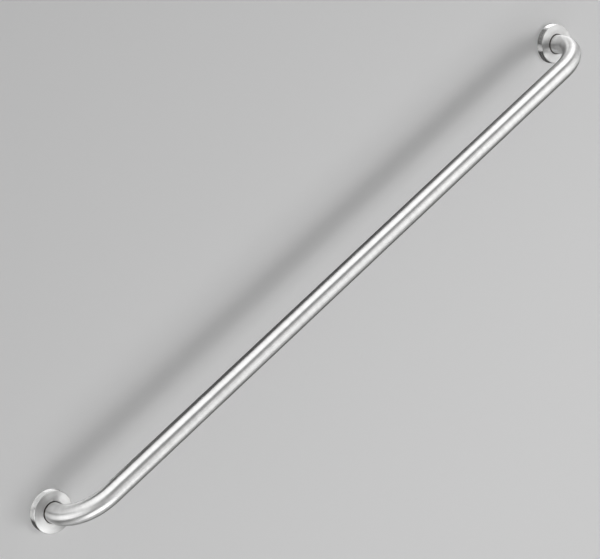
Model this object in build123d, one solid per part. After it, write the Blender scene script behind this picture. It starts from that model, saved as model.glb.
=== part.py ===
"""Wall grab bar: one bent stainless tube with a round fixing plate welded to each end.

Each plate is held to the wall by pan head screws and is hidden by a drawn cover that slides
along the leg of the tube. Sizes are in millimetres. The wall is the plane y = 0, and the bar
stands out from it along -y. The origin is on the wall, midway between the two plates, x runs
along the bar, and z is up.
"""
import os
from math import cos, radians, sin

from build123d import *

# Tube
CENTRE_DISTANCE = 1200.0  # from the middle of one plate to the middle of the other
TUBE_DIAMETER = 32.0
TUBE_WALL = 1.2
BEND_RADIUS = 67.0  # of the tube's centre line
LEG_SHOWING = 6.3  # straight tube between the cover's face and the start of the bend

# Screws: pan head, with a plain neck in the plate and the thread beyond it
SCREWS_PER_PLATE = 3
SCREW_DIAMETER = 4.8
SCREW_LENGTH = 38.0  # from under the head to the point
SCREW_POINT = 7.0
NECK_UNDERCUT = 0.3  # how much smaller the neck's radius is than the thread's
HEAD_OVERHANG = 2.2  # how far the head reaches past the thread, on the radius
HEAD_HEIGHT = 3.2
HEAD_RIM = 0.9  # upright side of the head, below its dome
RECESS_RIM = 2.3  # metal left between the cross recess and the head's edge
RECESS_WIDTH = 1.1
RECESS_DEPTH = 1.9
RECESS_TAPER = 4.0  # degrees

# Fixing plate and its weld
PLATE_THICKNESS = 3.0
PLATE_EDGE_CHAMFER = 0.4
TUBE_FIT = 0.1  # between the tube and the plate's middle hole
WELD_LEG = 2.5  # of the fillet bead round the tube
WELD_CROWN = 0.4  # how far the bead bulges over a flat fillet
HEAD_ROOM = 2.2  # between a screw's head and the weld, and between the head and the plate's edge
SCREW_FIT = 0.35  # between a screw's thread and its hole, on the radius

# Cover: a cup drawn from sheet, with a hole for the tube
COVER_SHEET = 1.0
COVER_GAP = 1.5  # all round the tube, in the cover's hole
COVER_FIT = 0.3  # between the plate's edge and the inside of the cover's rim
COVER_HEADROOM = 5.5  # between the screw heads and the inside of the cover's face
COVER_INNER_BEND = 0.5  # inside radius where the face turns into the rim
HOLE_EDGE_RADIUS = 0.3  # rounding on the cover's hole

# Radii, worked outwards from the tube: weld, ring of screws, plate, cover
tube_radius = TUBE_DIAMETER / 2
plate_hole_radius = tube_radius + TUBE_FIT
weld_toe_radius = plate_hole_radius + WELD_LEG
thread_radius = SCREW_DIAMETER / 2
neck_radius = thread_radius - NECK_UNDERCUT
head_radius = thread_radius + HEAD_OVERHANG
screw_hole_radius = thread_radius + SCREW_FIT
screw_circle_radius = weld_toe_radius + HEAD_ROOM + head_radius
plate_radius = screw_circle_radius + head_radius + HEAD_ROOM
cover_inner_radius = plate_radius + COVER_FIT
cover_radius = cover_inner_radius + COVER_SHEET
cover_hole_radius = tube_radius + COVER_GAP

# Heights, worked outwards from the wall: plate, screw heads, cover, leg, bar
cover_depth = PLATE_THICKNESS + HEAD_HEIGHT + COVER_HEADROOM + COVER_SHEET
leg_length = cover_depth + LEG_SHOWING
bar_height = leg_length + BEND_RADIUS

# Each end has its own frame: z out of the wall along the leg, x away from the bar's middle
END_FRAMES = {
    "left": Plane(origin=(-CENTRE_DISTANCE / 2, 0, 0), x_dir=(-1, 0, 0), z_dir=(0, -1, 0)),
    "right": Plane(origin=(CENTRE_DISTANCE / 2, 0, 0), x_dir=(1, 0, 0), z_dir=(0, -1, 0)),
}


def disc(radius, height):
    """A round slab that stands on the wall, about the leg's axis."""
    return Cylinder(radius, height, align=(Align.CENTER, Align.CENTER, Align.MIN))


def turned(*profile):
    """A profile, drawn with its radius along x and its height along z, turned about the leg's axis."""
    return revolve(make_face(profile), axis=Axis.Z)


def outer_edge(shape):
    """The widest circle on the face that is furthest from the wall."""
    return shape.edges().group_by(Axis.Z)[-1].sort_by(SortBy.RADIUS)[-1]


def screw_places():
    """Where the screws go through the plate: evenly round it, the first one on the outer side."""
    return PolarLocations(screw_circle_radius, SCREWS_PER_PLATE)


def bar_tube():
    """The tube: up one leg, round the bend, along the bar, round the other bend and back to the wall."""
    half = CENTRE_DISTANCE / 2
    corners = [(-half, 0, 0), (-half, -bar_height, 0), (half, -bar_height, 0), (half, 0, 0)]
    path = FilletPolyline(*corners, radius=BEND_RADIUS)
    section = Circle(tube_radius) - Circle(tube_radius - TUBE_WALL)
    return sweep(END_FRAMES["left"] * section, path=path)


def cover():
    """The cover: a shallow cup that stands on its rim, with a flat face and a round hole."""
    outside = disc(cover_radius, cover_depth)
    outside = fillet(outer_edge(outside), COVER_INNER_BEND + COVER_SHEET)
    inside = disc(cover_inner_radius, cover_depth - COVER_SHEET)
    inside = fillet(outer_edge(inside), COVER_INNER_BEND)
    cup = outside - inside - disc(cover_hole_radius, cover_depth)
    hole_edge = cup.edges().group_by(Axis.Z)[-1].sort_by(SortBy.RADIUS)[0]
    return fillet(hole_edge, HOLE_EDGE_RADIUS)


def plate():
    """The fixing plate: a flat disc with a middle hole for the tube and a ring of screw holes."""
    blank = disc(plate_radius, PLATE_THICKNESS)
    blank = chamfer(outer_edge(blank), PLATE_EDGE_CHAMFER)
    screw_holes = [place * disc(screw_hole_radius, PLATE_THICKNESS) for place in screw_places()]
    return blank - disc(plate_hole_radius, PLATE_THICKNESS) - screw_holes


def weld():
    """The fillet bead in the corner between the plate's face and the tube, crowned a little."""
    root = Vector(plate_hole_radius, 0, PLATE_THICKNESS)
    toe = root + Vector(WELD_LEG, 0, 0)
    top = root + Vector(0, 0, WELD_LEG)
    crown = (toe + top) / 2 + Vector(1, 0, 1).normalized() * WELD_CROWN
    return turned(Polyline(top, root, toe), ThreePointArc(toe, crown, top))


def screw():
    """One screw along z, with the seat of its head at z = 0."""
    rim = (head_radius, 0, HEAD_RIM)
    crown = (0, 0, HEAD_HEIGHT)
    thread_end = SCREW_POINT - SCREW_LENGTH
    shank = Polyline(
        crown,
        (0, 0, -SCREW_LENGTH),
        (thread_radius, 0, thread_end),
        (thread_radius, 0, -PLATE_THICKNESS),
        (neck_radius, 0, -PLATE_THICKNESS),
        (neck_radius, 0, 0),
        (head_radius, 0, 0),
        rim,
    )
    dome = TangentArc(crown, rim, tangent=(1, 0, 0))
    recess_span = 2 * (head_radius - RECESS_RIM)
    cross = Rectangle(recess_span, RECESS_WIDTH) + Rectangle(RECESS_WIDTH, recess_span)
    recess = extrude(Pos(0, 0, HEAD_HEIGHT) * cross, -RECESS_DEPTH, taper=RECESS_TAPER)
    return turned(shank, dome) - recess


def screws():
    """The ring of screws that holds one plate, as separate solids."""
    one = Pos(0, 0, PLATE_THICKNESS) * screw()
    return Compound([place * one for place in screw_places()])


def write(node, shape):
    """Write one node's STEP file."""
    export_step(shape, os.path.join("parts", node + ".step"))


os.makedirs("parts", exist_ok=True)
write("bar_tube", bar_tube())
for end, frame in END_FRAMES.items():
    write(end + "_cover", frame * cover())
    write(end + "_flange", frame * plate())
    write(end + "_weld", frame * weld())
    write(end + "_screws", frame.location * screws())
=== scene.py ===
# %% [markdown]
# # A brushed stainless grab bar
#
# This lesson dresses a wall grab bar: a bent tube, a round cover at each end and, behind each cover,
# a welded plate held by three screws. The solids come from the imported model, at their real size and
# place, and stay where they are. All but the two plates are then modelled again with smooth, rounded
# surfaces, and every piece gets a steel finish made of shader nodes.

import math

import bpy
from mathutils import Matrix, Vector


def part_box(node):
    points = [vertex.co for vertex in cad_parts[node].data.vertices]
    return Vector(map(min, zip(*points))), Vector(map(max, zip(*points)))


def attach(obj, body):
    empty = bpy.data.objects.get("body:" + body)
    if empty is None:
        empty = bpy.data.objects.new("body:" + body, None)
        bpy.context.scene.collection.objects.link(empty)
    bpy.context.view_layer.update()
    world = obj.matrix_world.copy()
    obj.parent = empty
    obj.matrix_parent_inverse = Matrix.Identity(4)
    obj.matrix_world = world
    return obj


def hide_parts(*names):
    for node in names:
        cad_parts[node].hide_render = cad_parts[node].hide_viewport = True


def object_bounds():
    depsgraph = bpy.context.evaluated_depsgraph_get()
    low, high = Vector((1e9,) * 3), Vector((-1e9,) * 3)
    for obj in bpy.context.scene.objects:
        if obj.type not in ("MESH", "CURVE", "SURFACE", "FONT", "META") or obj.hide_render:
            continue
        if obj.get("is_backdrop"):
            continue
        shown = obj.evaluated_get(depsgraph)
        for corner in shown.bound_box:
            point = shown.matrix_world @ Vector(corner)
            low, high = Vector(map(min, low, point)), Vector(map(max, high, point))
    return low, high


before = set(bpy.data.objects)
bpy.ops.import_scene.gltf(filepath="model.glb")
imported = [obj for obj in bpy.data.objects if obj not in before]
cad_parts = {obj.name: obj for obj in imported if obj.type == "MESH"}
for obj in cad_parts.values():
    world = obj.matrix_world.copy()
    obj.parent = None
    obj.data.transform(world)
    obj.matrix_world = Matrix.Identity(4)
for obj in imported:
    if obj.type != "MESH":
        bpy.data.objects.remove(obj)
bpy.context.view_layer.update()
print("nodes:", ", ".join(sorted(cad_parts)))

# %% [markdown]
# ## Sizes read from the solids
#
# A piece that replaces a solid has to fit where that solid was. So most sizes below are measured on the
# solids' boxes instead of being typed in a second time. The wall is the plane y = 0, and the bar stands
# out from it along -Y. What a box can't tell, such as the bend's radius, is written as a number.

# %% Measure the solids
MM = 0.001

tube_low, tube_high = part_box("bar_tube")
tube_radius = 16 * MM
tube_wall = 1.2 * MM
bend_radius = 67 * MM
bar_height = -tube_low.y - tube_radius
leg_length = bar_height - bend_radius
end_x = tube_high.x - tube_radius
straight_half = end_x - bend_radius

ENDS = {"left": Vector((-end_x, 0, 0)), "right": Vector((end_x, 0, 0))}
print(f"tube {tube_radius * 2 / MM:.1f} mm across, its axis {bar_height / MM:.1f} mm off the wall")
print(f"legs {leg_length / MM:.1f} mm long, {2 * end_x / MM:.0f} mm apart")

# %% [markdown]
# ## Working in edit mode from a script
#
# Modelling operators act on whatever is selected. These helpers do what a hand does before each
# operator: let go of everything, enter edit mode, and pick out vertices by where they are.


# %% Helpers for selecting and shaping
def let_go():
    """Leave edit mode and select nothing."""
    if bpy.context.object and bpy.context.object.mode != "OBJECT":
        bpy.ops.object.mode_set(mode="OBJECT")
    bpy.ops.object.select_all(action="DESELECT")


def hold(piece):
    """Select one piece and make it the active one."""
    let_go()
    piece.select_set(True)
    bpy.context.view_layer.objects.active = piece


def edit(piece):
    """Enter edit mode on one piece, with all of it selected."""
    hold(piece)
    bpy.ops.object.mode_set(mode="EDIT")
    bpy.ops.mesh.select_mode(type="VERT")
    bpy.ops.mesh.select_all(action="SELECT")


def pick(piece, wanted):
    """In edit mode, select only the vertices for which wanted(position) is true."""
    bpy.ops.mesh.select_all(action="DESELECT")
    bpy.ops.object.mode_set(mode="OBJECT")
    for vertex in piece.data.vertices:
        vertex.select = wanted(vertex.co)
    bpy.ops.object.mode_set(mode="EDIT")


def pull(x=0.0, y=0.0, z=0.0):
    """Extrude the selection and move the new part."""
    bpy.ops.mesh.extrude_region_move(TRANSFORM_OT_translate={"value": (x, y, z)})


def close_up():
    """Merge doubled points and turn all faces outwards."""
    bpy.ops.mesh.select_all(action="SELECT")
    bpy.ops.mesh.remove_doubles(threshold=0.001 * MM)
    bpy.ops.mesh.normals_make_consistent(inside=False)


def apply_all(piece):
    """Apply a piece's modifiers in order, then its place, so that its object sits at the origin."""
    hold(piece)
    for modifier in list(piece.modifiers):
        bpy.ops.object.modifier_apply(modifier=modifier.name)
    bpy.ops.object.transform_apply(location=True, rotation=True, scale=True)


def smooth(piece, degrees=35):
    """Shade round, with a crease only where two faces meet at more than the angle given."""
    hold(piece)
    bpy.ops.object.shade_smooth_by_angle(angle=math.radians(degrees))


def tell(piece):
    """Print what a piece is made of."""
    triangles = sum(len(polygon.vertices) - 2 for polygon in piece.data.polygons)
    print(f"{piece.name}: {len(piece.data.vertices)} vertices, {triangles} triangles")


# %% [markdown]
# ## The tube
#
# The real bar is one length of tube, bent twice round a former and welded at its ends. The model
# is made in the same order: a ring is drawn at the left wall, pulled out along the leg, spun through a
# right angle about the bend's centre, pulled along the bar, spun again and pulled back to the wall.
# A curve with a round bevel would be shorter to write, but its rings bunch up at the corners.
# Solidify then gives the shell its wall, inwards, so the outside keeps its size.

# %% Model the tube
RING_POINTS = 128
BEND_STEPS = 48
RUN_STEPS = 40
QUARTER_TURN = math.radians(-90)


def bend(centre_x):
    """Spin the open ring through a right angle, about an upright axis through the bend's centre."""
    bpy.ops.mesh.spin(steps=BEND_STEPS, angle=QUARTER_TURN, axis=(0, 0, 1),
                      center=(centre_x, -leg_length, 0))


let_go()
bpy.ops.mesh.primitive_circle_add(vertices=RING_POINTS, radius=tube_radius, location=ENDS["left"],
                                  rotation=(math.radians(90), 0, 0))
tube = bpy.context.object
tube.name = "satin_tube"
apply_all(tube)
edit(tube)
pull(y=-leg_length)
bend(-straight_half)
for _ in range(RUN_STEPS):
    pull(x=2 * straight_half / RUN_STEPS)
bend(straight_half)
pull(y=leg_length)
close_up()
let_go()
wall = tube.modifiers.new("wall", "SOLIDIFY")
wall.thickness = tube_wall
wall.offset = -1
apply_all(tube)
smooth(tube)
tell(tube)

# %% [markdown]
# The brushing was put on while the tube was still straight, by a belt that ran round it. So each point
# of the mesh is given two attributes: where it lay on the straight tube, which the fine scratches
# follow, and which way the tube runs there, which the stretched highlight follows.


# %% Remember the straight tube
def straightened(point):
    """Where a point of the bent tube lay on the straight one, and which way the tube runs there."""
    side = 1 if point.x > 0 else -1
    past_bend = abs(point.x) - straight_half
    quarter = bend_radius * math.pi / 2
    if past_bend <= 0:
        return Vector((point.x, -point.y - bar_height, point.z)), Vector((1, 0, 0))
    off_leg = -point.y - leg_length
    if off_leg <= 0:
        along = straight_half + quarter - off_leg
        return Vector((side * along, past_bend - bend_radius, point.z)), Vector((0, side, 0))
    angle = math.atan2(past_bend, off_leg)
    along = straight_half + bend_radius * angle
    out = math.hypot(past_bend, off_leg) - bend_radius
    return Vector((side * along, out, point.z)), Vector((math.cos(angle), side * math.sin(angle), 0))


unbent = tube.data.attributes.new("unbent", "FLOAT_VECTOR", "POINT")
run = tube.data.attributes.new("run", "FLOAT_VECTOR", "POINT")
for vertex in tube.data.vertices:
    unbent.data[vertex.index].vector, run.data[vertex.index].vector = straightened(vertex.co)
half_length = max(item.vector.x for item in unbent.data)
print(f"the straight tube was {2 * half_length / MM:.0f} mm long")

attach(tube, "bar")
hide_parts("bar_tube")

# %% [markdown]
# ## Round pieces about a leg
#
# The covers, the welds and the screws are all round, so one helper draws them the way a lathe would: a
# ring is drawn at the first point of a profile, and then extruded and resized from point to point.
# A profile's points are pairs, a radius and a height off the wall.


# %% A lathe made of rings
def off_wall(height):
    """A vector that far out from the wall."""
    return Vector((0, -height, 0))


def turn(name, centre, profile, points):
    """Draw a ring at the profile's first point and carry it through the others. Stays in edit mode."""
    radius, height = profile[0]
    let_go()
    bpy.ops.mesh.primitive_circle_add(vertices=points, radius=radius, location=centre + off_wall(height),
                                      rotation=(math.radians(90), 0, 0))
    piece = bpy.context.object
    piece.name = name
    apply_all(piece)
    edit(piece)
    for next_radius, next_height in profile[1:]:
        pull(y=height - next_height)
        share = next_radius / radius
        bpy.ops.transform.resize(value=(share, 1, share), center_override=centre + off_wall(next_height))
        radius, height = next_radius, next_height
    return piece


def on_ring(centre, radius, height):
    """A test for points at that radius about a leg and that height off the wall."""
    slack = 0.02 * MM
    return lambda p: abs(math.hypot(p.x - centre.x, p.z) - radius) < slack and abs(-p.y - height) < slack


# %% [markdown]
# ## The covers
#
# Each cover is a cup pressed from sheet: a short rim that meets the wall, a flat face and a hole that
# clears the tube. A ring is drawn on the wall, pulled out to the cover's depth and pulled in to the
# hole. Solidify gives the sheet its thickness, and the bevel operator rounds the pressed edge outside
# and in, and breaks the edge of the hole.

# %% Model the covers
COVER_POINTS = 192
PRESSED_EDGE = 1.5 * MM
PRESSED_STEPS = 6
HOLE_EDGE = 0.3 * MM
SMALL_EDGE_STEPS = 3

cover_low, cover_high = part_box("right_cover")
cover_radius = cover_high.z
cover_depth = -cover_low.y
cover_sheet = 1.0 * MM
cover_gap = 1.5 * MM
cover_hole_radius = tube_radius + cover_gap


def round_over(piece, ring, offset, segments):
    """Bevel one ring of edges."""
    pick(piece, ring)
    bpy.ops.mesh.bevel(offset=offset, offset_type="OFFSET", segments=segments, profile=0.5,
                       affect="EDGES")


def mark_inside(cup, centre):
    """Give each point an attribute that is 1 on the inner face of the sheet and 0 on the outer one."""
    inside = cup.data.attributes.new("inside", "FLOAT", "POINT")
    for vertex in cup.data.vertices:
        radius = math.hypot(vertex.co.x - centre.x, vertex.co.z)
        within_rim = radius < cover_radius - cover_sheet / 2
        under_face = -vertex.co.y < cover_depth - cover_sheet / 2
        inside.data[vertex.index].value = float(within_rim and under_face)


def make_cover(end, centre):
    """One cover cup about the leg at that end."""
    profile = [(cover_radius, 0), (cover_radius, cover_depth), (cover_hole_radius, cover_depth)]
    cup = turn(end + "_cover_cup", centre, profile, COVER_POINTS)
    close_up()
    let_go()
    sheet = cup.modifiers.new("sheet", "SOLIDIFY")
    sheet.thickness = cover_sheet
    sheet.offset = -1
    sheet.use_even_offset = True
    apply_all(cup)
    edit(cup)
    round_over(cup, on_ring(centre, cover_radius, cover_depth), PRESSED_EDGE, PRESSED_STEPS)
    inner_ring = on_ring(centre, cover_radius - cover_sheet, cover_depth - cover_sheet)
    round_over(cup, inner_ring, PRESSED_EDGE - cover_sheet, SMALL_EDGE_STEPS)
    round_over(cup, on_ring(centre, cover_hole_radius, cover_depth), HOLE_EDGE, SMALL_EDGE_STEPS)
    smooth(cup)
    mark_inside(cup, centre)
    tell(cup)
    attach(cup, end + "_cover")
    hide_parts(end + "_cover")
    return cup


covers = {end: make_cover(end, centre) for end, centre in ENDS.items()}

# %% [markdown]
# ## The weld beads
#
# Behind each cover the tube's end is welded to a flat plate. The bead is a small crowned fillet, and
# the torch leaves it in overlapping ripples, one for each dab of filler. A texture could fake them,
# but here they are in the ring itself: each point of the crown sinks a little between two dabs, and
# the dabs lean forward in the middle, which gives the crescent shape of real ones.

# %% Model the weld beads
RIPPLES = 44
POINTS_PER_RIPPLE = 8
CROWN_STEPS = 8
CROWN_BULGE = 0.4 * MM
RIPPLE_DEPTH = 0.22 * MM
RIPPLE_LEAN = 0.45
EDGE_SHARE = 0.01

plate_thickness = -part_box("right_flange")[0].y
weld_low, weld_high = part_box("right_weld")
weld_leg = -weld_low.y - plate_thickness
weld_root_radius = weld_high.z - weld_leg


def crown(share):
    """The bead's outline, from its toe on the plate (0) to its top on the tube (1): radius and height."""
    bulge = CROWN_BULGE * math.sin(math.pi * share) / math.sqrt(2)
    return weld_root_radius + weld_leg * (1 - share) + bulge, plate_thickness + weld_leg * share + bulge


def ripple(bead, centre):
    """Sink the crown between the dabs of filler. The bead's back and its two edges stay."""
    for vertex in bead.data.vertices:
        arm = Vector((vertex.co.x - centre.x, 0, vertex.co.z))
        rise = (-vertex.co.y - plate_thickness) / weld_leg
        spread = (arm.length - weld_root_radius) / weld_leg
        middle = math.sin(math.pi * (0.5 + 0.5 * (rise - spread)))
        dab = RIPPLES * math.atan2(arm.z, arm.x) / math.tau + RIPPLE_LEAN * middle
        if min(rise, spread) > EDGE_SHARE:
            sink = RIPPLE_DEPTH * middle * (0.5 + 0.5 * math.cos(math.tau * dab)) ** 2
            vertex.co += sink * (Vector((0, 1, 0)) - arm.normalized()).normalized()


def make_weld(end, centre):
    """One bead round the tube, on the plate's face."""
    root = (weld_root_radius, plate_thickness)
    profile = [crown(step / CROWN_STEPS) for step in range(CROWN_STEPS + 1)] + [root]
    bead = turn(end + "_weld_bead", centre, profile, RIPPLES * POINTS_PER_RIPPLE)
    toe_ring, root_ring = on_ring(centre, *profile[0]), on_ring(centre, *root)
    pick(bead, lambda p: toe_ring(p) or root_ring(p))
    bpy.ops.mesh.bridge_edge_loops()
    close_up()
    let_go()
    ripple(bead, centre)
    smooth(bead, degrees=60)
    tell(bead)
    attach(bead, "bar")
    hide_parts(end + "_weld")
    return bead


welds = {end: make_weld(end, centre) for end, centre in ENDS.items()}

# %% [markdown]
# ## The screws
#
# Three pan head screws hold each plate. One screw is turned from the middle of its head, over the dome,
# in to the neck and along the shank. The thread is a helix, so it can't be turned. The Screw modifier
# could wind one, but joining it to the shank is fiddly. Here each ring of the shank is pushed in where
# the helix has its groove, and drawn to a point at the end.

# %% Turn one screw
SCREW_POINTS = 40
DOME_STEPS = 10
RINGS_PER_PITCH = 10

thread_pitch = 2.1 * MM
thread_radius = 2.4 * MM
thread_groove = 0.7 * MM
thread_crest_half = 0.28
neck_radius = 2.1 * MM
head_radius = 4.6 * MM
head_rim = 0.9 * MM
point_length = 7 * MM

screw_low, screw_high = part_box("right_screws")
thread_length = screw_high.y
head_height = -screw_low.y - plate_thickness
screw_circle_radius = screw_high.x - end_x - head_radius
dome_rise = head_height - head_rim
dome_radius = (head_radius ** 2 + dome_rise ** 2) / (2 * dome_rise)


def dome(share):
    """The head's dome, from near its middle (0) to its rim (1): radius and height."""
    angle = share * math.asin(head_radius / dome_radius)
    drop = dome_radius * (1 - math.cos(angle))
    return dome_radius * math.sin(angle), plate_thickness + head_height - drop


def cut_thread(piece):
    """Push the shank in along a right-hand helix, and draw its end to a point."""
    for vertex in piece.data.vertices:
        along = vertex.co.y
        if along > 0:
            turns = along / thread_pitch - math.atan2(vertex.co.x, vertex.co.z) / math.tau
            ridge = max(0, 1 - abs(turns % 1 - 0.5) / thread_crest_half) * min(1, along / thread_pitch)
            taper = min(1, (thread_length - along) / point_length)
            share = (1 - thread_groove / thread_radius * (1 - ridge)) * taper
            vertex.co.x *= share
            vertex.co.z *= share


head = [dome(step / DOME_STEPS) for step in range(1, DOME_STEPS + 1)] + [(head_radius, plate_thickness)]
neck = [(neck_radius, plate_thickness), (neck_radius, 0), (thread_radius, 0)]
thread_rings = round(thread_length / thread_pitch * RINGS_PER_PITCH)
shank = [(thread_radius, -thread_length * ring / thread_rings) for ring in range(1, thread_rings + 1)]
screw = turn("screw", Vector(), head + neck + shank, SCREW_POINTS)
bpy.ops.mesh.merge(type="CENTER")
pick(screw, on_ring(Vector(), *head[0]))
bpy.ops.mesh.merge(type="CENTER")
close_up()
let_go()
cut_thread(screw)
print(f"thread: {thread_length / thread_pitch:.1f} turns in {thread_length / MM:.0f} mm")

# %% [markdown]
# The cross in a screw's head is struck by a punch with tapered wings. Cutting it by inset and extrude
# would need a cross in the rings of the dome, where there is none. So two bars, narrower at the tip,
# stand for the punch, and a Boolean takes each of them out of the head.

# %% Cut the cross recess
RECESS_TAPER = math.radians(4)
OVERCUT = 0.5 * MM

recess_span = 4.6 * MM
recess_width = 1.1 * MM
recess_depth = 1.9 * MM
recess_draft = 2 * recess_depth * math.tan(RECESS_TAPER)
narrowing = (1 - recess_draft / recess_span, 1, 1 - recess_draft / recess_width)
wing_depth = recess_depth + OVERCUT
wing_top = plate_thickness + head_height + OVERCUT

for wing_angle in (0, math.radians(90)):
    let_go()
    bpy.ops.mesh.primitive_cube_add(size=1, location=off_wall(wing_top - wing_depth / 2),
                                    rotation=(0, wing_angle, 0),
                                    scale=(recess_span, wing_depth, recess_width))
    wing = bpy.context.object
    hold(wing)
    bpy.ops.object.transform_apply(location=False, rotation=False, scale=True)
    edit(wing)
    pick(wing, lambda p: p.y > 0)
    bpy.ops.transform.resize(value=narrowing, orient_type="LOCAL",
                             center_override=off_wall(wing_top - wing_depth))
    let_go()
    apply_all(wing)
    recess = screw.modifiers.new("recess", "BOOLEAN")
    recess.object = wing
    recess.operation = "DIFFERENCE"
    apply_all(screw)
    bpy.data.objects.remove(wing)
smooth(screw, degrees=30)
tell(screw)

# %% [markdown]
# The finished screw is copied to each hole, and each copy is turned by its own angle, because no one
# stops every screw with its cross the same way up.

# %% Place the screws
CROSS_ANGLES = [math.radians(degrees) for degrees in (12, 41, 73)]


def make_screws(end, side):
    """Three copies of the screw, evenly round one plate, joined into one piece."""
    copies = []
    for number, cross_angle in enumerate(CROSS_ANGLES):
        around = math.tau * number / len(CROSS_ANGLES)
        heading = Vector((side * math.cos(around), 0, math.sin(around)))
        hold(screw)
        bpy.ops.object.duplicate()
        copy = bpy.context.object
        copy.location = ENDS[end] + screw_circle_radius * heading
        copy.rotation_euler.y = cross_angle
        apply_all(copy)
        copies.append(copy)
    let_go()
    for copy in copies:
        copy.select_set(True)
    bpy.context.view_layer.objects.active = copies[0]
    bpy.ops.object.join()
    group = bpy.context.object
    group.name = end + "_plate_screws"
    tell(group)
    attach(group, "bar")
    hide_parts(end + "_screws")
    return group


screws = {"left": make_screws("left", -1), "right": make_screws("right", 1)}
bpy.data.objects.remove(screw)

# %% [markdown]
# ## Steel finishes
#
# Stainless steel shows almost nothing but what it reflects, so its finish is all in how rough it is
# and which way it was brushed. Brushing leaves fine grooves, and a highlight is smeared across them.
# The shader's Anisotropic value does the smearing along its Tangent, and a noise texture squeezed into
# hair lines gives the grooves themselves: a little bump, and a little change in roughness.


# %% A small kit for shader nodes
def new_finish(name):
    """A new material with its node tree, and a metal shader in it."""
    finish = bpy.data.materials.new(name)
    finish.use_nodes = True
    shader = finish.node_tree.nodes["Principled BSDF"]
    shader.inputs["Metallic"].default_value = 1.0
    return finish, finish.node_tree, shader


def add(tree, kind, **settings):
    """Add a node, set its properties, and return it."""
    node = tree.nodes.new(kind)
    for name, value in settings.items():
        setattr(node, name, value)
    return node


def feed(tree, node, values):
    """Fill a node's first inputs, each from a socket or with a fixed value."""
    for socket, value in zip(node.inputs, values):
        if isinstance(value, bpy.types.NodeSocket):
            tree.links.new(value, socket)
        else:
            socket.default_value = value


def arithmetic(tree, operation, first, second):
    """A sum, product or the like of two numbers."""
    node = add(tree, "ShaderNodeMath", operation=operation)
    feed(tree, node, (first, second))
    return node.outputs["Value"]


def vector_math(tree, operation, first, second):
    """A sum, product or the like of two vectors."""
    node = add(tree, "ShaderNodeVectorMath", operation=operation)
    feed(tree, node, (first, second))
    return node.outputs["Vector"]


def length_of(tree, vector):
    """The length of a vector."""
    node = add(tree, "ShaderNodeVectorMath", operation="LENGTH")
    tree.links.new(vector, node.inputs[0])
    return node.outputs["Value"]


def part_of(tree, vector, axis):
    """One coordinate of a vector."""
    node = add(tree, "ShaderNodeSeparateXYZ")
    tree.links.new(vector, node.inputs[0])
    return node.outputs[axis]


def noise(tree, place, stretch, detail):
    """A noise value between 0 and 1, on a place multiplied by stretch, in cycles per metre."""
    node = add(tree, "ShaderNodeTexNoise")
    node.inputs["Scale"].default_value = 1.0
    node.inputs["Detail"].default_value = detail
    tree.links.new(vector_math(tree, "MULTIPLY", place, stretch), node.inputs["Vector"])
    return node.outputs["Fac"]


NOISE_LOW, NOISE_HIGH = 0.3, 0.7


def between(tree, value, low, high):
    """Spread the range where nearly all noise values lie over low to high."""
    node = add(tree, "ShaderNodeMapRange")
    tree.links.new(value, node.inputs["Value"])
    node.inputs["From Min"].default_value = NOISE_LOW
    node.inputs["From Max"].default_value = NOISE_HIGH
    node.inputs["To Min"].default_value = low
    node.inputs["To Max"].default_value = high
    return node.outputs["Result"]


def tint(tree, value, dark, light):
    """A grey between two levels, chosen by a value."""
    node = add(tree, "ShaderNodeMix", data_type="RGBA")
    tree.links.new(between(tree, value, 0, 1), node.inputs["Factor"])
    node.inputs[6].default_value = (*dark, 1)
    node.inputs[7].default_value = (*light, 1)
    return node.outputs[2]


def grooves(tree, height, depth, strength):
    """Bump from a height value, for grooves of that depth in metres."""
    node = add(tree, "ShaderNodeBump")
    node.inputs["Strength"].default_value = strength
    node.inputs["Distance"].default_value = depth
    tree.links.new(height, node.inputs["Height"])
    return node.outputs["Normal"]


def stain(tree, colour, amount, stops):
    """Multiply a colour by a ramp of stains, given as pairs: an amount from 0 to 1, and a colour."""
    ramp = add(tree, "ShaderNodeValToRGB")
    while len(ramp.color_ramp.elements) < len(stops):
        ramp.color_ramp.elements.new(1.0)
    for element, (position, shade) in zip(ramp.color_ramp.elements, stops):
        element.position = position
        element.color = (*shade, 1)
    tree.links.new(amount, ramp.inputs["Fac"])
    product = add(tree, "ShaderNodeMix", data_type="RGBA", blend_type="MULTIPLY")
    product.inputs["Factor"].default_value = 1.0
    tree.links.new(ramp.outputs["Color"], product.inputs[6])
    tree.links.new(colour, product.inputs[7])
    return product.outputs[2]


def dress(piece, finish):
    """Give a piece this material and no other."""
    piece.data.materials.clear()
    piece.data.materials.append(finish)


# %% [markdown]
# ## Brushed steel
#
# The tube and the covers share one recipe. The belt's grit leaves about two and a half lines to the
# millimetre, and each line is long, so the noise is squeezed one way and stretched the other. A piece
# only says where it is on its own surface and which way the highlight runs. A picture of brushed metal
# would show its seams at the bends, and noise has none.

# %% Write the recipe for brushed steel
STEEL_DARK = (0.62, 0.62, 0.615)
STEEL_LIGHT = (0.70, 0.70, 0.695)
LINES_PER_METRE = 2500
GROOVE_DEPTH = 0.015 * MM
GROOVE_STRENGTH = 0.3


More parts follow.
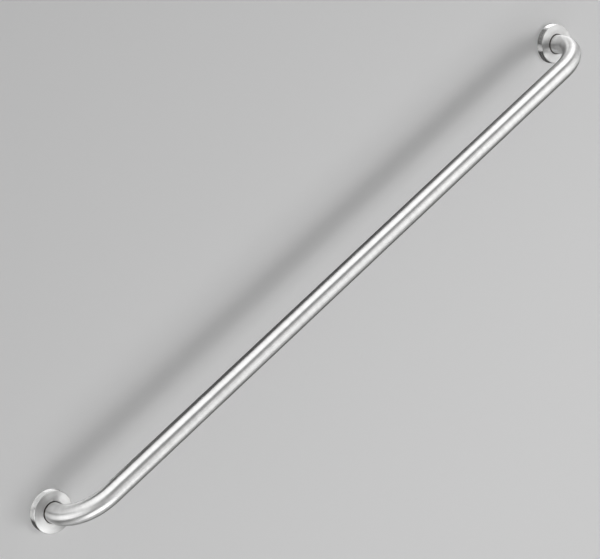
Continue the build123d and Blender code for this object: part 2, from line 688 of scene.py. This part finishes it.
def dress_brushed(tree, shader, place, tangent, hair, cloud, roughness, smear, polish=1.0):
    """Brushed steel: hair lines in bump and roughness, soft clouds in colour, a smeared highlight."""
    lines = noise(tree, place, hair, detail=4)
    clouds = noise(tree, place, cloud, detail=2)
    worn = arithmetic(tree, "MULTIPLY", between(tree, lines, *roughness), polish)
    tree.links.new(worn, shader.inputs["Roughness"])
    tree.links.new(grooves(tree, lines, GROOVE_DEPTH, GROOVE_STRENGTH), shader.inputs["Normal"])
    tree.links.new(tangent, shader.inputs["Tangent"])
    shader.inputs["Anisotropic"].default_value = smear
    return tint(tree, clouds, STEEL_DARK, STEEL_LIGHT)


print(f"{LINES_PER_METRE / 1000} lines to the millimetre, {GROOVE_DEPTH / MM} mm deep")

# %% [markdown]
# The tube's ends were welded after the brushing, and no one polished what a cover would hide. So the
# heat left its colours there: a dark scale at the bead, then blue, then brown. Past that the brown is
# kept near black up to the cover's face and fades just beyond it, which is painted shade: the shadow
# in the gap between the tube and the cover's hole. The colours could be painted on the points, but here
# they follow the distance from the tube's end, which the straight tube's attribute gives.

# %% Finish the tube
# Heat colours near the bead. From about 10 mm to just past the cover's face the dark is painted shade for
# the gap round the tube.
HEAT_AND_GAP_SHADE_REACH = 14.0
TUBE_HEAT_AND_GAP_SHADE = [(5.5, (0.10, 0.10, 0.11)), (8.0, (0.10, 0.11, 0.16)), (10.4, (0.10, 0.075, 0.07)),
             (12.9, (0.12, 0.095, 0.07)), (HEAT_AND_GAP_SHADE_REACH, (1.0, 1.0, 1.0))]

tube_finish, tree, shader = new_finish("tube_brushed_round")
straight_place = add(tree, "ShaderNodeAttribute", attribute_name="unbent").outputs["Vector"]
running = add(tree, "ShaderNodeAttribute", attribute_name="run").outputs["Vector"]
steel = dress_brushed(tree, shader, straight_place, running, hair=(LINES_PER_METRE, 90, 90),
                      cloud=(150, 40, 40), roughness=(0.34, 0.43), smear=0.9)
from_middle = arithmetic(tree, "ABSOLUTE", part_of(tree, straight_place, "X"), 0)
from_end = arithmetic(tree, "SUBTRACT", half_length, from_middle)
# How far a point lies into the heat colours and the painted shade of the gap.
heat_and_shade_share = arithmetic(tree, "DIVIDE", from_end, HEAT_AND_GAP_SHADE_REACH * MM)
heat_and_shade_stops = [(distance / HEAT_AND_GAP_SHADE_REACH, shade) for distance, shade in TUBE_HEAT_AND_GAP_SHADE]
tree.links.new(stain(tree, steel, heat_and_shade_share, heat_and_shade_stops), shader.inputs["Base Color"])
dress(tube, tube_finish)
print(f"heat colours on the last {HEAT_AND_GAP_SHADE_REACH} mm of the tube")

# %% [markdown]
# The covers were brushed while they spun, so their lines are circles about the leg, on the face and on
# the rim alike. A UV map wrapped round the axis would do, but it has a seam. Here the shader works out
# how far a point lies out from the axis and along it, which is where the lines change, and its heading
# about the axis, along which they run on. The highlight is smeared the other way, along the profile.
# The rim was rolled smoother than the face. The brushing is a little rougher than the tube's, which
# leaves the steel a little darker. The inside of the cup is painted much darker, as painted shade
# inside the cup and in the gap round the tube.


# %% Finish the covers
def turned_place(tree, centre):
    """On a round piece about a leg: a place for the lines, the profile's way, and how flat it lies."""
    arm = vector_math(tree, "SUBTRACT", add(tree, "ShaderNodeTexCoord").outputs["Object"], centre)
    normal = add(tree, "ShaderNodeNewGeometry").outputs["Normal"]
    around = vector_math(tree, "CROSS_PRODUCT", arm, (0, 1, 0))
    profile = vector_math(tree, "CROSS_PRODUCT", around, normal)
    flat = vector_math(tree, "MULTIPLY", arm, (1, 0, 1))
    heading = vector_math(tree, "NORMALIZE", flat, (0, 0, 0))
    place = add(tree, "ShaderNodeCombineXYZ")
    feed(tree, place, (arithmetic(tree, "ADD", length_of(tree, flat), part_of(tree, arm, "Y")),
                       part_of(tree, heading, "X"), part_of(tree, heading, "Z")))
    facing_out = arithmetic(tree, "ABSOLUTE", part_of(tree, normal, "Y"), 0)
    return place.outputs[0], profile, facing_out


RIM_POLISH = 0.6
COVER_OUTSIDE = (0.87, 0.87, 0.87)
# The inner face of the cup: painted shade, darker than the steel outside.
COVER_INSIDE_PAINTED_SHADE = (0.35, 0.35, 0.35)

for end, cup in covers.items():
    cover_finish, tree, shader = new_finish(end + "_cover_brushed_round")
    place, profile, facing_out = turned_place(tree, ENDS[end])
    on_face = arithmetic(tree, "MULTIPLY", facing_out, 1 - RIM_POLISH)
    polish = arithmetic(tree, "ADD", on_face, RIM_POLISH)
    steel = dress_brushed(tree, shader, place, profile, hair=(LINES_PER_METRE, 2.5, 2.5),
                          cloud=(150, 1, 1), roughness=(0.36, 0.47), smear=0.94, polish=polish)
    inside = add(tree, "ShaderNodeAttribute", attribute_name="inside").outputs["Fac"]
    # The inner face is painted darker, as shade inside the cup and in the gap round the tube.
    outside_and_shaded_inside = [(0, COVER_OUTSIDE), (1, COVER_INSIDE_PAINTED_SHADE)]
    tree.links.new(stain(tree, steel, inside, outside_and_shaded_inside), shader.inputs["Base Color"])
    dress(cup, cover_finish)
    print(f"{end} cover: rings about x = {ENDS[end].x / MM:.0f} mm")

# %% [markdown]
# ## The hidden steel
#
# What the covers hide was never brushed. The beads are a dark, dull grey, and the screws are plain
# bright stainless. Both are even enough for one noise, which mottles the colour and the roughness
# together and gives a fine relief.

# %% Finish the welds and screws
WELD_DARK, WELD_LIGHT = (0.42, 0.40, 0.38), (0.58, 0.56, 0.53)
SCREW_DARK, SCREW_LIGHT = (0.60, 0.60, 0.60), (0.72, 0.72, 0.71)
RELIEF_STRENGTH = 0.5


def dress_plain(tree, shader, dark, light, roughness, grain, relief):
    """Unbrushed steel: a mottle in colour and roughness, and a fine relief."""
    place = add(tree, "ShaderNodeTexCoord").outputs["Object"]
    mottle = noise(tree, place, (grain, grain, grain), detail=4)
    tree.links.new(between(tree, mottle, *roughness), shader.inputs["Roughness"])
    tree.links.new(grooves(tree, mottle, relief, RELIEF_STRENGTH), shader.inputs["Normal"])
    return tint(tree, mottle, dark, light)


weld_finish, tree, shader = new_finish("weld_rippled_steel")
colour = dress_plain(tree, shader, WELD_DARK, WELD_LIGHT, roughness=(0.38, 0.55), grain=700,
                     relief=0.03 * MM)
tree.links.new(colour, shader.inputs["Base Color"])
screw_finish, tree, shader = new_finish("screw_bright_steel")
colour = dress_plain(tree, shader, SCREW_DARK, SCREW_LIGHT, roughness=(0.24, 0.36), grain=900,
                     relief=0.01 * MM)
tree.links.new(colour, shader.inputs["Base Color"])
for end in ENDS:
    dress(welds[end], weld_finish)
    dress(screws[end], screw_finish)
    print(f"{end} end: weld and screws have their finishes")

# %% [markdown]
# The plates keep the dull, faintly mottled skin that rolling gave them. Where the welding heat went
# through they have rainbow tints, blue next to the bead and straw further out. The tints lie in rings
# about the leg, so a colour ramp over the distance from its middle places them. The solids of the plates
# are flat and need no second model. Only their material is changed.

# %% Finish the plates
PLATE_DARK, PLATE_LIGHT = (0.86, 0.86, 0.86), (1.0, 1.0, 1.0)
PLATE_EDGE = 32.2
PLATE_HEAT = [(18.2, (0.30, 0.33, 0.42)), (19.4, (0.42, 0.34, 0.33)), (20.8, (0.66, 0.54, 0.36)),
              (23.0, (0.60, 0.60, 0.59))]


def heat_plate(tree, centre, colour):
    """Stain a plate round its weld, by the distance from the leg's middle."""
    place = add(tree, "ShaderNodeTexCoord").outputs["Object"]
    arm = vector_math(tree, "MULTIPLY", vector_math(tree, "SUBTRACT", place, centre), (1, 0, 1))
    share = arithmetic(tree, "DIVIDE", length_of(tree, arm), PLATE_EDGE * MM)
    return stain(tree, colour, share, [(radius / PLATE_EDGE, shade) for radius, shade in PLATE_HEAT])


for end, centre in ENDS.items():
    plate_finish, tree, shader = new_finish(end + "_plate_mill_steel")
    colour = dress_plain(tree, shader, PLATE_DARK, PLATE_LIGHT, roughness=(0.40, 0.55), grain=450,
                         relief=0.01 * MM)
    tree.links.new(heat_plate(tree, centre, colour), shader.inputs["Base Color"])
    dress(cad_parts[end + "_flange"], plate_finish)
    print(f"{end} plate: tints from {PLATE_HEAT[0][0]} to {PLATE_HEAT[-1][0]} mm off the leg's middle")

# %% [markdown]
# ## The camera
#
# The bar is looked at from its left, from above and from about three and a half metres away, with the
# camera rolled so that the bar runs from corner to corner. Turning the bar would give the same picture,
# but the bar has to stay where its solids are. The place, roll and lens were found by matching the
# outlines of the tube and of both covers.

# %% Set the camera
CAMERA_PLACE = Vector((-1.4273, -2.7961, 1.6878))
CAMERA_AIM = Vector((-0.0426, 0, -0.0026))
CAMERA_ROLL = math.radians(29.646)
LENS = 132.81
SENSOR_WIDTH = 36

let_go()
bpy.ops.object.camera_add(location=CAMERA_PLACE)
camera = bpy.context.object
camera.data.sensor_width = SENSOR_WIDTH
camera.data.lens = LENS
aim = (CAMERA_AIM - CAMERA_PLACE).to_track_quat("-Z", "Y").to_matrix().to_4x4()
camera.matrix_world = Matrix.Translation(CAMERA_PLACE) @ aim @ Matrix.Rotation(-CAMERA_ROLL, 4, "Z")
bpy.context.scene.camera = camera
print(f"camera {(CAMERA_AIM - CAMERA_PLACE).length:.2f} m away, lens {LENS} mm")

# %% [markdown]
# ## The wall
#
# The bar is screwed to a wall, which stands in for the floor of a studio. It is one plain pale sheet,
# a hair behind the plates, that takes the bar's shadow. The steel doesn't mirror it, so that the plates'
# backs aren't black where they lie against it, and from behind it is clear, so that the backs can be
# looked at.

# %% Make the wall
WALL_SIDE = 2.6
WALL_BEHIND = 0.2 * MM
WALL_TONE = 0.85
WALL_ROUGHNESS = 0.9

let_go()
bpy.ops.mesh.primitive_plane_add(size=WALL_SIDE, location=(0, WALL_BEHIND, 0),
                                 rotation=(math.radians(90), 0, 0))
backdrop = bpy.context.object
backdrop.name = "wall"
backdrop.visible_glossy = False
backdrop.visible_shadow = False
backdrop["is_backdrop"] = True
wall_paint = bpy.data.materials.new("pale_wall")
wall_paint.use_nodes = True
tree = wall_paint.node_tree
paint = tree.nodes["Principled BSDF"]
paint.inputs["Base Color"].default_value = (WALL_TONE, WALL_TONE, WALL_TONE, 1)
paint.inputs["Roughness"].default_value = WALL_ROUGHNESS
paint.inputs["Specular IOR Level"].default_value = 0.0
see_through = add(tree, "ShaderNodeBsdfTransparent")
by_side = add(tree, "ShaderNodeMixShader")
tree.links.new(add(tree, "ShaderNodeNewGeometry").outputs["Backfacing"], by_side.inputs["Fac"])
tree.links.new(paint.outputs["BSDF"], by_side.inputs[1])
tree.links.new(see_through.outputs["BSDF"], by_side.inputs[2])
tree.links.new(by_side.outputs["Shader"], tree.nodes["Material Output"].inputs["Surface"])
backdrop.data.materials.append(wall_paint)
print(f"wall {WALL_SIDE} m square")

# %% [markdown]
# ## The light
#
# Brushed steel is drawn by its surroundings, so the lamps are large soft panels placed for what they
# leave in the steel. A picture of a room on the world would be quicker, but its windows can't be moved
# one by one. Five panels in front make the wide lower band of the tube. Between them stays a dark patch
# straight ahead, which the round brushing of the covers spreads into a dark sector. A strip overhead
# makes the white upper band, and the dim room in between makes the grey line that parts the two. Panels
# beyond the ends light the bends. Behind the wall, four small ones light the covers' rims and two large
# ones light the backs. Only the last two reach the wall: a wash from below, and a lamp from the right
# for the covers' shadows.


# %% Place the softboxes
def beside(angle, distance, x):
    """A place that far from the bar's axis, that many degrees above straight out from the wall."""
    lean = math.radians(angle)
    return Vector((x, -bar_height - distance * math.cos(lean), distance * math.sin(lean)))


def softbox(name, place, aim_x, along, across, radiance, steel=True, wall=False):
    """A panel of light that faces a point on the bar, and that lights the steel or the wall."""
    bpy.ops.object.light_add(type="AREA", location=place)
    lamp = bpy.context.object
    lamp.name = name
    lamp.data.shape = "RECTANGLE"
    lamp.data.size, lamp.data.size_y = along, across
    lamp.data.energy = radiance * math.pi * along * across
    facing = Vector((aim_x, -bar_height, 0)) - place
    lamp.rotation_euler = facing.to_track_quat("-Z", "Y").to_euler()
    lamp.visible_camera = False
    lamp.visible_glossy = steel
    lamp.visible_diffuse = wall
    print(f"{name}: {along} by {across} m, {lamp.data.energy:.0f} W")


# In front, for the lower band
softbox("front_left", Vector((-1.34, -1.48, -1.2)), -end_x, along=1.5, across=1.45, radiance=2.6)
softbox("front_right", Vector((1.95, -1.7, -0.5)), end_x, along=2.1, across=3.3, radiance=1.2)
softbox("front_middle", beside(-8, 5.0, 2.1), 2.1, along=1.6, across=3.9, radiance=2.5)
softbox("front_low", beside(-64, 2.3, -0.1), -0.1, along=3.4, across=1.5, radiance=0.3)
softbox("front_foot", Vector((-0.42, -1.45, -1.15)), -end_x, along=0.6, across=0.6, radiance=1.4)

# Above, for the white band
softbox("overhead_strip", beside(85, 1.6, 0.9), 0.9, along=5.6, across=2.0, radiance=1.4)

# Beyond the ends, for the bends
softbox("right_softbox", Vector((2.9, 0.2, 1.1)), end_x, along=1.6, across=1.6, radiance=1.5)
softbox("left_softbox", Vector((-1.1, -0.14, 0.19)), -end_x, along=0.6, across=0.46, radiance=1.7)
softbox("low_strip", beside(-95, 2.0, -1.6), -1.6, along=2.5, across=0.7, radiance=0.8)

# Behind the wall, for the rims and the backs
softbox("left_rim_light", Vector((-0.52, 0.095, 0.033)), -end_x, along=0.04, across=0.08, radiance=2.0)
softbox("right_rim_light", Vector((0.688, 0.083, 0.036)), end_x, along=0.04, across=0.10, radiance=2.6)
softbox("left_rim_top", Vector((-0.6, 0.095, 0.092)), -end_x, along=0.18, across=0.07, radiance=1.2)
softbox("right_rim_top", Vector((0.675, 0.095, 0.095)), end_x, along=0.05, across=0.05, radiance=1.3)
softbox("rear_left", Vector((-2.4, 2.2, 0.35)), -end_x, along=3.2, across=1.8, radiance=0.8)
softbox("rear_right", Vector((3.4, 1.9, 0.6)), end_x, along=2.6, across=2.6, radiance=0.8)

# For the wall
softbox("wall_wash", beside(-26, 2.2, -0.3), -0.3, along=6.0, across=1.9, radiance=0.75,
        steel=False, wall=True)
softbox("wall_side", Vector((2.2, -3.6, -1.6)), 0, along=1.0, across=1.0, radiance=8.5,
        steel=False, wall=True)

# %% [markdown]
# The room itself is a dim grey, and darker still behind the wall, which gives the steel its dark edges.
# Where the camera looks past the wall it sees a plain grey instead. Two backgrounds do this, and the
# kind of ray chooses between them.

# %% Light the room
ROOM_FRONT = 0.30
ROOM_BACK = 0.08
ROOM_BLEND = 0.3
BACKGROUND = 0.54

world = bpy.data.worlds.new("studio")
bpy.context.scene.world = world
world.use_nodes = True
tree = world.node_tree
plain = tree.nodes["Background"]
plain.inputs["Color"].default_value = (BACKGROUND, BACKGROUND, BACKGROUND, 1)
room = add(tree, "ShaderNodeBackground")
room.inputs["Color"].default_value = (1, 1, 1, 1)
direction = add(tree, "ShaderNodeTexCoord").outputs["Generated"]
depth = add(tree, "ShaderNodeMapRange", interpolation_type="SMOOTHSTEP")
tree.links.new(part_of(tree, direction, "Y"), depth.inputs["Value"])
depth.inputs["From Min"].default_value = -ROOM_BLEND
depth.inputs["From Max"].default_value = ROOM_BLEND
depth.inputs["To Min"].default_value = ROOM_FRONT
depth.inputs["To Max"].default_value = ROOM_BACK
tree.links.new(depth.outputs["Result"], room.inputs["Strength"])
by_ray = add(tree, "ShaderNodeMixShader")
tree.links.new(add(tree, "ShaderNodeLightPath").outputs["Is Camera Ray"], by_ray.inputs["Fac"])
tree.links.new(room.outputs["Background"], by_ray.inputs[1])
tree.links.new(plain.outputs["Background"], by_ray.inputs[2])
tree.links.new(by_ray.outputs["Shader"], tree.nodes["World Output"].inputs["Surface"])
bpy.context.scene.view_settings.view_transform = "Standard"
print(f"room {ROOM_FRONT} in front, {ROOM_BACK} behind")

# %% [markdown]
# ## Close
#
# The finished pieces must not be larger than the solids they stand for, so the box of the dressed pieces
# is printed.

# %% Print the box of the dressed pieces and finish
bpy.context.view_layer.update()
low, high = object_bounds()
print("box of the dressed pieces, in mm:", [round(1000 * side, 2) for side in high - low])
